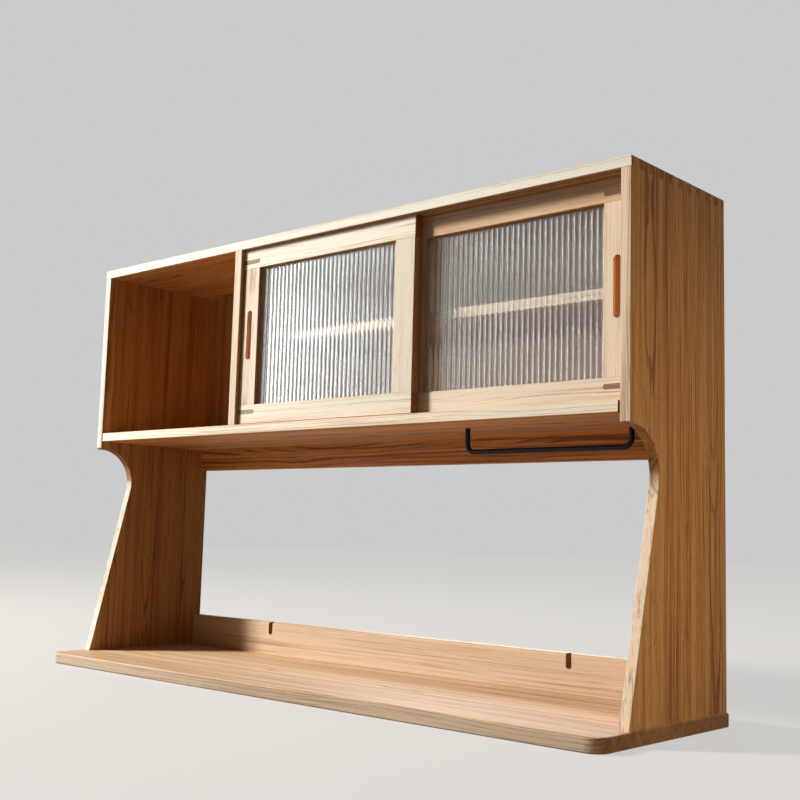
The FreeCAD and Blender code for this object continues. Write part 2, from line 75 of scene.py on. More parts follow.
class NodeSheet:
    """A material with a short way to add and join its nodes."""

    def __init__(self, name: str) -> None:
        """Start a material that holds one principled shader.

        Args:
            name: Name of the new material.
        """
        self.material = bpy.data.materials.new(name)
        self.material.use_nodes = True
        self.tree = self.material.node_tree
        self.tree.nodes.clear()
        output = self.add("ShaderNodeOutputMaterial")
        self.shader = self.add("ShaderNodeBsdfPrincipled")
        self.tree.links.new(self.shader.outputs["BSDF"], output.inputs["Surface"])

    def add(self, kind: str, **settings: object) -> bpy.types.Node:
        """Add a node.

        Args:
            kind: Node type name.
            settings: Properties to set on the node.

        Returns:
            The new node.
        """
        node = self.tree.nodes.new(kind)
        for key, value in settings.items():
            setattr(node, key, value)
        return node

    def feed(self, socket: Socket, value: Feed | Colour) -> None:
        """Give an input a link or a value.

        Args:
            socket: Input to fill.
            value: Output socket, number or colour.
        """
        if isinstance(value, bpy.types.NodeSocket):
            self.tree.links.new(value, socket)
        elif isinstance(value, tuple):
            socket.default_value = (*value, 1.0) if len(socket.default_value) == 4 else value
        else:
            socket.default_value = value

    def math(self, operation: str, *values: Feed) -> Socket:
        """Add a math node.

        Args:
            operation: Name of the operation.
            values: One to three operands.

        Returns:
            Its result.
        """
        node = self.add("ShaderNodeMath", operation=operation)
        for socket, value in zip(node.inputs, values):
            self.feed(socket, value)
        return node.outputs[0]

    def plus(self, a: Feed, b: Feed) -> Socket:
        """Sum of two values."""
        return self.math("ADD", a, b)

    def minus(self, a: Feed, b: Feed) -> Socket:
        """Difference of two values."""
        return self.math("SUBTRACT", a, b)

    def times(self, a: Feed, b: Feed) -> Socket:
        """Product of two values."""
        return self.math("MULTIPLY", a, b)

    def blend_in(self, base: Feed, offset: Feed, amount: float) -> Socket:
        """Base plus an amount of a value that swings around one half."""
        return self.math("MULTIPLY_ADD", self.minus(offset, 0.5), amount, base)

    def join(self, x: Feed, y: Feed, z: Feed) -> Socket:
        """Vector from three values."""
        node = self.add("ShaderNodeCombineXYZ")
        for socket, value in zip(node.inputs, (x, y, z)):
            self.feed(socket, value)
        return node.outputs[0]

    def split(self, vector: Socket) -> list[Socket]:
        """Three values of a vector."""
        node = self.add("ShaderNodeSeparateXYZ")
        self.feed(node.inputs[0], vector)
        return list(node.outputs)

    def channels(self, colour: Socket) -> list[Socket]:
        """Red, green and blue of a colour."""
        node = self.add("ShaderNodeSeparateColor")
        self.feed(node.inputs[0], colour)
        return list(node.outputs)

    def noise(self, vector: Socket, scale: float, detail: float = 2.0,
              rough: float = 0.5) -> bpy.types.Node:
        """Add a cloud noise.

        Args:
            vector: Where it is read.
            scale: Features per unit of the vector.
            detail: Octaves.
            rough: Weight of the finer octaves.

        Returns:
            The node, with its Fac and Color outputs.
        """
        node = self.add("ShaderNodeTexNoise")
        self.feed(node.inputs["Vector"], vector)
        self.feed(node.inputs["Scale"], scale)
        self.feed(node.inputs["Detail"], detail)
        self.feed(node.inputs["Roughness"], rough)
        return node

    def chance(self, vector: Socket) -> bpy.types.Node:
        """White noise, steady for each whole value of the vector."""
        node = self.add("ShaderNodeTexWhiteNoise", noise_dimensions="3D")
        self.feed(node.inputs["Vector"], vector)
        return node

    def ease(self, value: Feed, low: float, high: float, start: float = 0.0, end: float = 1.0) -> Socket:
        """Smooth step.

        Args:
            value: Value to read.
            low: Where the step begins.
            high: Where it ends.
            start: Result below the step.
            end: Result above it.

        Returns:
            The stepped value.
        """
        node = self.add("ShaderNodeMapRange", interpolation_type="SMOOTHSTEP")
        for key, number in (("Value", value), ("From Min", low), ("From Max", high),
                            ("To Min", start), ("To Max", end)):
            self.feed(node.inputs[key], number)
        return node.outputs["Result"]

    def mix(self, share: Feed, first: Socket | Colour, second: Socket | Colour, way: str = "MIX") -> Socket:
        """Blend two colours.

        Args:
            share: How much of the second.
            first: Colour under it.
            second: Colour laid over it.
            way: Blend type.

        Returns:
            The blended colour.
        """
        node = self.add("ShaderNodeMix", data_type="RGBA", blend_type=way)
        self.feed(node.inputs[0], share)
        self.feed(node.inputs[6], first)
        self.feed(node.inputs[7], second)
        return node.outputs[2]

    def bump(self, height: Socket, strength: float, depth: float) -> None:
        """Roughen the shader's normal.

        Args:
            height: Height from 0 to 1.
            strength: How strongly it shows.
            depth: Depth in metres of a height of 1.
        """
        node = self.add("ShaderNodeBump")
        self.feed(node.inputs["Height"], height)
        self.feed(node.inputs["Strength"], strength)
        self.feed(node.inputs["Distance"], depth)
        self.tree.links.new(node.outputs["Normal"], self.shader.inputs["Normal"])

    def set(self, **values: Feed | Colour) -> None:
        """Fill the shader's inputs, with underscores for spaces in their names."""
        for key, value in values.items():
            self.feed(self.shader.inputs[key.replace("_", " ")], value)


@dataclass(frozen=True)
class Timber:
    """One wood and the way it is finished.

    Attributes:
        pale: Colour of the dense late wood.
        mid: Colour between the rings' lines.
        dark: Colour of the open early wood.
        pore: Colour down in the pores.
        painted_light_colour: Pale colour painted onto faces that look to the front or up: painted light,
            standing in for the bright lamps in front and above.
        ring_gap: Distance between growth rings, in metres.
        line_weight: How strongly the ring lines show.
        fibre_weight: How strongly the fine streaks show.
        tone_spread: How much the staves differ.
        roughness: Roughness of the oiled surface.
        front_roughness: Roughness where it faces the front, which is rubbed smoother.
    """

    pale: Colour
    mid: Colour
    dark: Colour
    pore: Colour
    painted_light_colour: Colour
    ring_gap: float = 0.0034
    line_weight: float = 0.95
    fibre_weight: float = 2.1
    tone_spread: float = 0.28
    roughness: float = 0.62
    front_roughness: float = 0.44


OAK = Timber(pale=(0.68, 0.355, 0.121), mid=(0.56, 0.258, 0.074), dark=(0.27, 0.100, 0.026),
             pore=(0.13, 0.048, 0.014), painted_light_colour=(0.885, 0.842, 0.69))
DOOR_OAK = replace(OAK, dark=(0.41, 0.178, 0.047), pore=(0.24, 0.095, 0.026), ring_gap=0.0027,
                   tone_spread=0.13)
CALM_OAK = replace(OAK, line_weight=0.35)
BOLD_OAK = replace(OAK, ring_gap=0.0046, line_weight=1.3, fibre_weight=3.4, tone_spread=0.14)
WALNUT = Timber(pale=(0.31, 0.190, 0.108), mid=(0.23, 0.132, 0.072), dark=(0.13, 0.072, 0.038),
                pore=(0.05, 0.028, 0.017), painted_light_colour=(0.40, 0.28, 0.18), ring_gap=0.0022, front_roughness=0.5)


@dataclass(frozen=True)
class Streaks:
    """A noise that is drawn out along the grain.

    Attributes:
        along: Features per metre along the grain.
        across: Features per metre across it.
        detail: Octaves.
        rough: Weight of the finer octaves.
    """

    along: float
    across: float
    detail: float
    rough: float = 0.5

    def draw(self, sheet: NodeSheet, spot: Socket) -> bpy.types.Node:
        """Add the noise.

        Args:
            sheet: Material that is being made.
            spot: Point in the wood, with the grain first.

        Returns:
            The node, with its Fac and Color outputs.
        """
        stretch = sheet.add("ShaderNodeVectorMath", operation="MULTIPLY")
        sheet.feed(stretch.inputs[0], spot)
        sheet.feed(stretch.inputs[1], (self.along, self.across, self.across))
        return sheet.noise(stretch.outputs[0], 1.0, self.detail, self.rough)


@dataclass(frozen=True)
class Stave:
    """Where a point lies in its own stave of a board.

    Attributes:
        number: Number of the stave.
        luck: Three random values of the stave.
        run: Place along the grain, different for each stave.
        across: Place across the face.
        deep: Place through the board.
        spot: The last three as a point.
    """

    number: Socket
    luck: list[Socket]
    run: Socket
    across: Socket
    deep: Socket
    spot: Socket


@dataclass(frozen=True)
class Figure:
    """What the wood is like at a point.

    Attributes:
        early: How far into open early wood it is.
        pores: How far into a pore it is.
        fibre: Fine streaks, around one half.
        cloud: Broad patches, around one half.
        shade: How dark the grain is.
    """

    early: Socket
    pores: Socket
    fibre: Socket
    cloud: Socket
    shade: Socket


@dataclass(frozen=True)
class Hollow:
    """Recess in the middle of a board's front, whose walls are painted lighter: they take some of the front's
    painted light and a painted bounce light.

    Attributes:
        half: Half of its breadth with a margin, in metres.
        depth: Its depth with a margin, in metres.
        fade: Length over which it ends, in metres.
        share: How much of the front's painted light it has.
        gain: How much brighter the painted bounce light makes its walls.
    """

    half: float = 0.0115
    depth: float = 0.0085
    fade: float = 0.001
    share: float = 0.5
    gain: float = 1.4

    def within(self, sheet: NodeSheet, aside: Socket, sunk: Socket) -> Socket:
        """Whether a point lies in the recess.

        Args:
            sheet: Material that is being made.
            aside: Distance from the middle of the board's breadth.
            sunk: Distance behind the face that takes the full painted light.

        Returns:
            One in the recess, and zero outside it.
        """
        near = sheet.ease(aside, self.half - self.fade, self.half, 1.0, 0.0)
        shallow = sheet.ease(sunk, self.depth - self.fade, self.depth, 1.0, 0.0)
        below = sheet.ease(sunk, -self.fade / 2, self.fade / 2)
        return sheet.times(sheet.times(near, shallow), below)


@dataclass(frozen=True)
class BoardFinish:
    """Solid-wood finish of one board, read in depth so that all its faces agree.

    The named steps are where a value starts and stops to count, and some add its result before and after.

    Attributes:
        timber: The wood.
        grain: Direction of the grain.
        breadth: Direction across the face, in which staves lie side by side.
        stave: Breadth of one stave, in metres.
        sawing: How the staves were sawn.
        seed: Number that makes this board differ from others.
        tone: Brightness of this board against others.
        painted_front_light: How much painted light its front faces have.
        painted_light_reach: How far behind its foremost point a face still takes the full painted light, in
            metres; deeper faces get a smaller share.
        painted_top_light: How much painted light its upper faces have, as a share of the front's.
        unlit_below: How far a face may lean down before the painted light stops, as the height of its normal.
        hollow: Recess in its front, whose walls are painted lighter.
    """

    timber: Timber
    grain: Axis
    breadth: Axis
    stave: float = 0.11
    sawing: Sawing = Sawing.FLAT
    seed: int = 1
    tone: float = 1.0
    painted_front_light: float = 0.4
    painted_light_reach: float = 1.0
    painted_top_light: float = 0.0
    unlit_below: float = -0.75
    hollow: Hollow | None = None

    # Staves, and where the heart of the log lay beside and below each
    STAVE_SHIFT = 0.37
    STAVE_ROW = 0.5
    RUN_SHIFT = 1.7
    RUN_LUCK = 7.0
    FLAT_REACH = 0.35
    FLAT_BELOW = (0.030, 0.085)
    RIFT_ASIDE = (0.10, 0.16)
    RIFT_BELOW = (0.07, 0.12)
    SWAY = Streaks(1.25, 4.0, 2.0, 0.45)
    WARP = 0.034
    WARP_DEEP = 1.5

    # Growth rings, fibres and pores
    RIPPLE = Streaks(7.0, 55.0, 2.0)
    RIPPLE_WEIGHT = 0.8
    SPACING_RATE = 0.21
    SPACING_WEIGHT = 1.5
    EARLY_RISE_STEP = (0.0, 0.10)
    EARLY_FALL_STEP = (0.12, 0.55, 1.0, 0.0)
    FIBRE = Streaks(3.0, 190.0, 5.0, 0.6)
    CLOUD = Streaks(1.6, 9.0, 3.0)
    CLOUD_WEIGHT = 1.2
    STREAK = Streaks(1.1, 58.0, 2.0)
    STREAK_WEIGHT = 2.0
    PORE = Streaks(62.0, 1150.0, 1.0)
    PORE_STEP = (0.54, 0.69)
    LATE_PORES = 0.4
    LINE_LUCK_STEP = (0.1, 1.0, 0.12, 1.0)
    LINE_BREAK = Streaks(26.0, 420.0, 2.0)
    LINE_BREAK_STEP = (0.34, 0.6, 0.45, 1.0)

    # Colour
    MID_STEP = (-0.35, 0.25)
    DARK_STEP = (0.15, 0.95)
    PORE_STAIN = 0.62
    # Painted light: the next steps lay a pale colour on faces that look to the front or up, less on faces
    # that lean down or lie behind the front, and less over dark grain lines
    FRONT_LIGHT_STEP = (-0.95, -0.6, 1.0, 0.0)
    TOP_LIGHT_STEP = (0.6, 0.95)
    UNLIT_FADE = 0.12
    SKIN = 0.0005
    SUNK_LIGHT_SHARE = 0.3
    LIGHT_OVER_GRAIN_STEP = (-0.1, 0.9)
    LIGHT_ON_LINES = 0.45
    END_STEP = (0.72, 0.96)
    END_TINT = (0.62, 0.62 * 0.94, 0.62 * 0.88)
    WORN_STEP = (0.0004, 0.0035, 1.0, 0.0)
    WORN_PATCH_STEP = (0.35, 0.65, 0.05, 0.3)

    # Surface
    PORE_ROUGH = 0.2
    FIBRE_ROUGH = 0.14
    WORN_ROUGH = -0.06
    INDEX = 1.45
    SPECULAR = 0.3
    FACE_LEVEL = 0.8
    PORE_RISE = -0.75
    EARLY_RISE = -0.22
    FIBRE_RISE = 0.2
    BUMP = 0.35
    BUMP_DEPTH = 0.00035

    @property
    def depth(self) -> Axis:
        """Direction through the board."""
        return next(axis for axis in Axis if axis not in (self.grain, self.breadth))

    def material(self, name: str, low: Vector, high: Vector) -> bpy.types.Material:
        """Make the material of the board that fills a box.

        Args:
            name: Name of the material.
            low: Lowest corner of the board.
            high: Highest corner of the board.

        Returns:
            The material.
        """
        sheet = NodeSheet(name)
        coords = sheet.add("ShaderNodeTexCoord")
        point = sheet.split(coords.outputs["Object"])
        normal = sheet.split(coords.outputs["Normal"])
        centre = (low + high) / 2
        stave = self._stave(sheet, point)
        figure = self._figure(sheet, stave, centre[self.depth.value])
        colour = self._bare(sheet, figure)
        sunk = sheet.minus(point[Axis.Y.value], low.y + self.painted_light_reach)
        # Painted light: how much pale colour a face gets for the way it looks, to the front and up
        painted_lit_mask = self._painted_lit_mask(sheet, normal, sunk)
        # Painted light in the recess: its walls get a share of the front's painted light
        if self.hollow:
            aside = sheet.math("ABSOLUTE", sheet.minus(stave.across, centre[self.breadth.value]))
            within = self.hollow.within(sheet, aside, sunk)
            painted_lit_mask = sheet.math("MAXIMUM", painted_lit_mask, sheet.times(within, self.hollow.share))
            # Painted bounce light: the recess walls are made brighter than their wood
            painted_bounce = (self.hollow.gain,) * 3
            colour = sheet.mix(within, colour, sheet.mix(1.0, colour, painted_bounce, "MULTIPLY"))
        # Painted light: the pale colour is laid on, thinner over dark grain lines
        light_over_grain = sheet.ease(figure.shade, *self.LIGHT_OVER_GRAIN_STEP, self.painted_front_light, self.LIGHT_ON_LINES * self.painted_front_light)
        colour = sheet.mix(sheet.times(painted_lit_mask, light_over_grain), colour, self.timber.painted_light_colour)
        colour = self._toned(sheet, colour, stave.luck)
        end = sheet.ease(sheet.math("ABSOLUTE", normal[self.grain.value]), *self.END_STEP)
        colour = sheet.mix(end, colour, sheet.mix(1.0, colour, self.END_TINT, "MULTIPLY"))
        worn = self._worn(sheet, point, low, high)
        patchy = sheet.times(worn, sheet.ease(figure.cloud, *self.WORN_PATCH_STEP))
        colour = sheet.mix(patchy, colour, self.timber.pale)
        sheet.set(Base_Color=colour)
        self._surface(sheet, figure, painted_lit_mask, worn)
        return sheet.material

    def _stave(self, sheet: NodeSheet, point: list[Socket]) -> Stave:
        """Find the stave that a point lies in.

        Args:
            sheet: Material that is being made.
            point: The point's three coordinates.

        Returns:
            The stave, with the point's place in it.
        """
        along, across, deep = (point[axis.value] for axis in (self.grain, self.breadth, self.depth))
        place = sheet.math("MULTIPLY_ADD", across, 1 / self.stave, self.STAVE_SHIFT * self.seed)
        number = sheet.math("FLOOR", place)
        dice = sheet.chance(sheet.join(number, self.seed, self.STAVE_ROW))
        luck = sheet.channels(dice.outputs["Color"])
        run = sheet.math("MULTIPLY_ADD", luck[0], self.RUN_LUCK, along)
        run = sheet.plus(run, self.RUN_SHIFT * self.seed)
        return Stave(number, luck, run, across, deep, sheet.join(run, across, deep))

    def _heart(self) -> tuple[tuple[float, float], tuple[float, float]]:
        """How far beside and below a stave the heart of its log lay.

        Returns:
            The least and the most of each, in metres.
        """
        if self.sawing is Sawing.RIFT:
            return self.RIFT_ASIDE, self.RIFT_BELOW
        reach = self.FLAT_REACH * self.stave
        return (-reach, reach), self.FLAT_BELOW

    def _log_radius(self, sheet: NodeSheet, stave: Stave, middle: float) -> Socket:
        """Distance of a point from the heart of the log that its stave came from.

        Args:
            sheet: Material that is being made.
            stave: The point's place in its stave.
            middle: Middle of the board's thickness.

        Returns:
            The distance in metres.
        """
        sway = sheet.channels(self.SWAY.draw(sheet, stave.spot).outputs["Color"])
        place = sheet.minus(sheet.plus(stave.number, 0.5), self.STAVE_SHIFT * self.seed)
        centre = sheet.times(place, self.stave)
        aside, below = self._heart()
        heart_across = sheet.plus(centre, sheet.ease(stave.luck[1], 0.0, 1.0, *aside))
        heart_deep = sheet.plus(sheet.ease(stave.luck[2], 0.0, 1.0, *below), middle)
        off_across = sheet.blend_in(sheet.minus(stave.across, heart_across), sway[0], self.WARP)
        off_deep = sheet.blend_in(sheet.minus(stave.deep, heart_deep), sway[1], self.WARP * self.WARP_DEEP)
        squares = sheet.plus(sheet.times(off_across, off_across), sheet.times(off_deep, off_deep))
        return sheet.math("SQRT", squares)

    def _rings(self, sheet: NodeSheet, stave: Stave, radius: Socket) -> tuple[Socket, Socket]:
        """Growth rings at a distance from the heart.

        Args:
            sheet: Material that is being made.
            stave: The point's place in its stave.
            radius: Distance from the heart.

        Returns:
            How far into open early wood the point is, and a random value of its ring.
        """
        ripple = self.RIPPLE.draw(sheet, stave.spot).outputs["Fac"]
        even = sheet.times(radius, 1 / self.timber.ring_gap)
        slow = sheet.join(sheet.times(even, self.SPACING_RATE), stave.number, self.seed)
        spacing = sheet.noise(slow, 1.0, 1.0).outputs["Fac"]
        count = sheet.blend_in(sheet.blend_in(even, ripple, self.RIPPLE_WEIGHT), spacing, self.SPACING_WEIGHT)
        phase = sheet.math("FRACT", count)
        ring = sheet.math("FLOOR", count)
        luck = sheet.chance(sheet.join(ring, stave.number, self.seed)).outputs["Value"]
        rise = sheet.ease(phase, *self.EARLY_RISE_STEP)
        fall = sheet.ease(phase, *self.EARLY_FALL_STEP)
        return sheet.times(rise, fall), luck

    def _figure(self, sheet: NodeSheet, stave: Stave, middle: float) -> Figure:
        """Work out the figure at a point.

        Args:
            sheet: Material that is being made.
            stave: The point's place in its stave.
            middle: Middle of the board's thickness.

        Returns:
            The figure.
        """
        timber = self.timber
        early, ring_luck = self._rings(sheet, stave, self._log_radius(sheet, stave, middle))
        kinds = (self.FIBRE, self.CLOUD, self.STREAK, self.PORE, self.LINE_BREAK)
        fibre, cloud, streak, pore, gap = (kind.draw(sheet, stave.spot).outputs["Fac"] for kind in kinds)
        pores = sheet.ease(early, 0.0, 1.0, self.LATE_PORES, 1.0)
        pores = sheet.times(sheet.ease(pore, *self.PORE_STEP), pores)
        line = sheet.times(early, sheet.ease(ring_luck, *self.LINE_LUCK_STEP))
        line = sheet.times(line, sheet.ease(gap, *self.LINE_BREAK_STEP))
        shade = sheet.blend_in(sheet.times(line, timber.line_weight), fibre, timber.fibre_weight)
        shade = sheet.blend_in(shade, cloud, self.CLOUD_WEIGHT)
        shade = sheet.blend_in(shade, streak, self.STREAK_WEIGHT)
        return Figure(early, pores, fibre, cloud, shade)

    def _bare(self, sheet: NodeSheet, figure: Figure) -> Socket:
        """Colour of the wood before the pale oil.

        Args:
            sheet: Material that is being made.
            figure: The figure at the point.

        Returns:
            The colour.
        """
        timber = self.timber
        colour = sheet.mix(sheet.ease(figure.shade, *self.MID_STEP), timber.pale, timber.mid)
        colour = sheet.mix(sheet.ease(figure.shade, *self.DARK_STEP), colour, timber.dark)
        return sheet.mix(sheet.times(figure.pores, self.PORE_STAIN), colour, timber.pore)

    def _painted_lit_mask(self, sheet: NodeSheet, normal: list[Socket], sunk: Socket) -> Socket:
        """How much painted light a face takes for the way it looks: all of it on faces to the front, less on
        faces behind the front or leaning down, and a share on upper faces.

        Args:
            sheet: Material that is being made.
            normal: The face's direction.
            sunk: Distance behind the face that takes the full painted light.

        Returns:
            The share, from zero to one.
        """
        lean = normal[Axis.Z.value]
        front = sheet.ease(normal[Axis.Y.value], *self.FRONT_LIGHT_STEP)
        front = sheet.times(front, sheet.ease(lean, self.unlit_below, self.unlit_below + self.UNLIT_FADE))
        front = sheet.times(front, sheet.ease(sunk, -self.SKIN, self.SKIN, 1.0, self.SUNK_LIGHT_SHARE))
        return sheet.math("MAXIMUM", front, sheet.ease(lean, *self.TOP_LIGHT_STEP, 0.0, self.painted_top_light))

    def _toned(self, sheet: NodeSheet, colour: Socket, luck: list[Socket]) -> Socket:
        """Colour with the brightness of its board and the small difference of its stave.

        Args:
            sheet: Material that is being made.
            colour: Colour before.
            luck: Three random values of the stave.

        Returns:
            The colour after.
        """
        spread = self.timber.tone_spread
        bright = sheet.ease(luck[1], 0.0, 1.0, self.tone * (1 - spread / 2), self.tone * (1 + spread / 2))
        ruddy = sheet.ease(luck[2], 0.0, 1.0, 1 - spread / 3, 1 + spread / 4)
        green = sheet.times(bright, ruddy)
        blue = sheet.times(bright, sheet.times(ruddy, ruddy))
        return sheet.mix(1.0, colour, sheet.join(bright, green, blue), "MULTIPLY")

    def _worn(self, sheet: NodeSheet, point: list[Socket], low: Vector, high: Vector) -> Socket:
        """How near a point is to an outer arris of its board.

        Args:
            sheet: Material that is being made.
            point: The point's three coordinates.
            low: Lowest corner of the board.
            high: Highest corner of the board.

        Returns:
            One at the arris, falling to zero inside.
        """
        gaps = [sheet.math("MINIMUM", sheet.minus(point[i], low[i]), sheet.minus(high[i], point[i]))
                for i in range(3)]
        least = sheet.math("MINIMUM", gaps[0], gaps[1])
        most = sheet.math("MAXIMUM", gaps[0], gaps[1])
        second = sheet.math("MAXIMUM", least, sheet.math("MINIMUM", most, gaps[2]))
        return sheet.ease(second, *self.WORN_STEP)

    def _surface(self, sheet: NodeSheet, figure: Figure, painted_lit_mask: Socket, worn: Socket) -> None:
        """Set the gloss and the relief of the grain.

        Args:
            sheet: Material that is being made.
            figure: The figure at the point.
            painted_lit_mask: How much painted light the face takes; those faces are also made smoother.
            worn: How near the point is to an arris.
        """
        timber = self.timber
        smooth = timber.front_roughness if self.painted_front_light else timber.roughness
        rough = sheet.ease(painted_lit_mask, 0.0, 1.0, timber.roughness, smooth)
        rough = sheet.math("MULTIPLY_ADD", figure.pores, self.PORE_ROUGH, rough)
        rough = sheet.blend_in(rough, figure.fibre, self.FIBRE_ROUGH)
        rough = sheet.math("MULTIPLY_ADD", worn, self.WORN_ROUGH, rough)
        sheet.set(Roughness=rough, IOR=self.INDEX, Specular_IOR_Level=self.SPECULAR)
        height = sheet.math("MULTIPLY_ADD", figure.pores, self.PORE_RISE, self.FACE_LEVEL)
        height = sheet.math("MULTIPLY_ADD", figure.early, self.EARLY_RISE, height)
        sheet.bump(sheet.blend_in(height, figure.fibre, self.FIBRE_RISE), self.BUMP, self.BUMP_DEPTH)


@dataclass(frozen=True)
class GlassFinish:
    """Clear pane with a faint warm body and a little dust.

    Attributes:
        tint: Colour of the glass.
        clear: Share of the light that goes in rather than scattering at the face.
        index: Refractive index.
        roughness: Roughness where it is clean.
        haze: How much rougher dust makes it.
        dust_scale: Specks per metre.
    """

    tint: Colour = (0.81, 0.797, 0.745)
    clear: float = 0.962
    index: float = 1.5
    roughness: float = 0.11
    haze: float = 0.02
    dust_scale: float = 420.0

    def material(self, name: str) -> bpy.types.Material:
        """Make the glass.

        Args:
            name: Name of the material.

        Returns:
            The material.
        """
        sheet = NodeSheet(name)
        place = sheet.add("ShaderNodeTexCoord").outputs["Object"]
        dust = sheet.noise(place, self.dust_scale, 3.0, 0.6).outputs["Fac"]
        sheet.set(Base_Color=self.tint, IOR=self.index, Transmission_Weight=self.clear)
        sheet.set(Roughness=sheet.math("MULTIPLY_ADD", dust, self.haze, self.roughness))
        return sheet.material


@dataclass(frozen=True)
class CoatedMetalFinish:
    """Matt black powder coat over steel.

    Attributes:
        pale: Colour of its paler patches.
        dark: Colour of its darker patches.
        patch_scale: Patches per metre.
        peel_scale: Bumps of the coat per metre.
        roughness: Roughness of the darkest patches.
        patch_rough: How much rougher the palest patches are.
        peel_rough: How much the bumps change the roughness.
        specular: Strength of its gloss.
        peel: How strongly the bumps show.
        peel_depth: Height of the bumps, in metres.
    """

    pale: Colour = (0.009, 0.0083, 0.0075)
    dark: Colour = (0.004, 0.0036, 0.0032)
    patch_scale: float = 35.0
    peel_scale: float = 900.0
    roughness: float = 0.46
    patch_rough: float = 0.12
    peel_rough: float = 0.2
    specular: float = 0.2
    peel: float = 0.22
    peel_depth: float = 0.0002

    def material(self, name: str) -> bpy.types.Material:
        """Make the coat.

        Args:
            name: Name of the material.

        Returns:
            The material.
        """
        sheet = NodeSheet(name)
        place = sheet.add("ShaderNodeTexCoord").outputs["Object"]
        peel = sheet.noise(place, self.peel_scale, 2.0).outputs["Fac"]
        cloud = sheet.noise(place, self.patch_scale, 3.0).outputs["Fac"]
        rough = sheet.math("MULTIPLY_ADD", cloud, self.patch_rough, self.roughness)
        sheet.set(Base_Color=sheet.mix(sheet.ease(cloud, *PATCH_STEP), self.dark, self.pale))
        sheet.set(Roughness=sheet.blend_in(rough, peel, self.peel_rough), Specular_IOR_Level=self.specular)
        sheet.bump(peel, self.peel, self.peel_depth)
        return sheet.material


@dataclass(frozen=True)
class SteelFinish:
    """Zinc-plated steel of the screws, pins and sockets.

    Attributes:
        pale: Colour of its paler patches.
        dark: Colour of its darker patches.
        patch_scale: Patches per metre.
        spangle_scale: Spangles of the plating per metre.
        roughness: Roughness of the brightest spangles.
        spangle_rough: How much rougher the dullest spangles are.
        spangle: How strongly the spangles stand out.
        spangle_depth: Height of the spangles, in metres.
    """

    pale: Colour = (0.62, 0.61, 0.585)
    dark: Colour = (0.40, 0.39, 0.365)
    patch_scale: float = 120.0
    spangle_scale: float = 700.0
    roughness: float = 0.18
    spangle_rough: float = 0.3
    spangle: float = 0.15
    spangle_depth: float = 0.0001

    def material(self, name: str) -> bpy.types.Material:
        """Make the steel.

        Args:
            name: Name of the material.

        Returns:
            The material.
        """
        sheet = NodeSheet(name)
        place = sheet.add("ShaderNodeTexCoord").outputs["Object"]
        spangle = sheet.noise(place, self.spangle_scale, 4.0, 0.65).outputs["Fac"]
        stain = sheet.noise(place, self.patch_scale, 2.0).outputs["Fac"]
        sheet.set(Base_Color=sheet.mix(sheet.ease(stain, *PATCH_STEP), self.dark, self.pale), Metallic=1.0)
        sheet.set(Roughness=sheet.math("MULTIPLY_ADD", spangle, self.spangle_rough, self.roughness))
        sheet.bump(spangle, self.spangle, self.spangle_depth)
        return sheet.material


@dataclass(frozen=True)
class NylonFinish:
    """Milky plastic of the glides under the doors.

    Attributes:
        pale: Colour where it is clean.
        dark: Colour where it is scuffed.
        scuff_scale: Scuffs per metre.
        scuff_step: Where scuffing starts and is full.
        roughness: Roughness where it is clean.
        scuff_rough: How much rougher scuffs are.
        scuff: How strongly the scuffs stand out.
        scuff_depth: Depth of the scuffs, in metres.
    """

    pale: Colour = (0.80, 0.79, 0.74)
    dark: Colour = (0.62, 0.61, 0.56)
    scuff_scale: float = 260.0
    scuff_step: tuple[float, float] = (0.35, 0.75)
    roughness: float = 0.38
    scuff_rough: float = 0.25
    scuff: float = 0.1
    scuff_depth: float = 0.0002

    def material(self, name: str) -> bpy.types.Material:
        """Make the plastic.

        Args:
            name: Name of the material.

        Returns:
            The material.
        """
        sheet = NodeSheet(name)
        place = sheet.add("ShaderNodeTexCoord").outputs["Object"]
        scuff = sheet.noise(place, self.scuff_scale, 4.0, 0.6).outputs["Fac"]
        sheet.set(Base_Color=sheet.mix(sheet.ease(scuff, *self.scuff_step), self.pale, self.dark))
        sheet.set(Roughness=sheet.math("MULTIPLY_ADD", scuff, self.scuff_rough, self.roughness))
        sheet.bump(scuff, self.scuff, self.scuff_depth)
        return sheet.material


def dress(node: str, material: bpy.types.Material) -> None:
    """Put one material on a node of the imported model.

    Args:
        node: Name of the node.
        material: Material for all of it.
    """
    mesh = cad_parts[node].data
    mesh.materials.clear()
    mesh.materials.append(material)
    LOG.info("dressed %s in %s", node, material.name)


def dress_board(node: str, finish: BoardFinish) -> None:
    """Give a wooden node its own grain.

    Args:
        node: Name of the node.
        finish: How its wood runs.
    """
    dress(node, finish.material(node + "_wood", *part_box(node)))


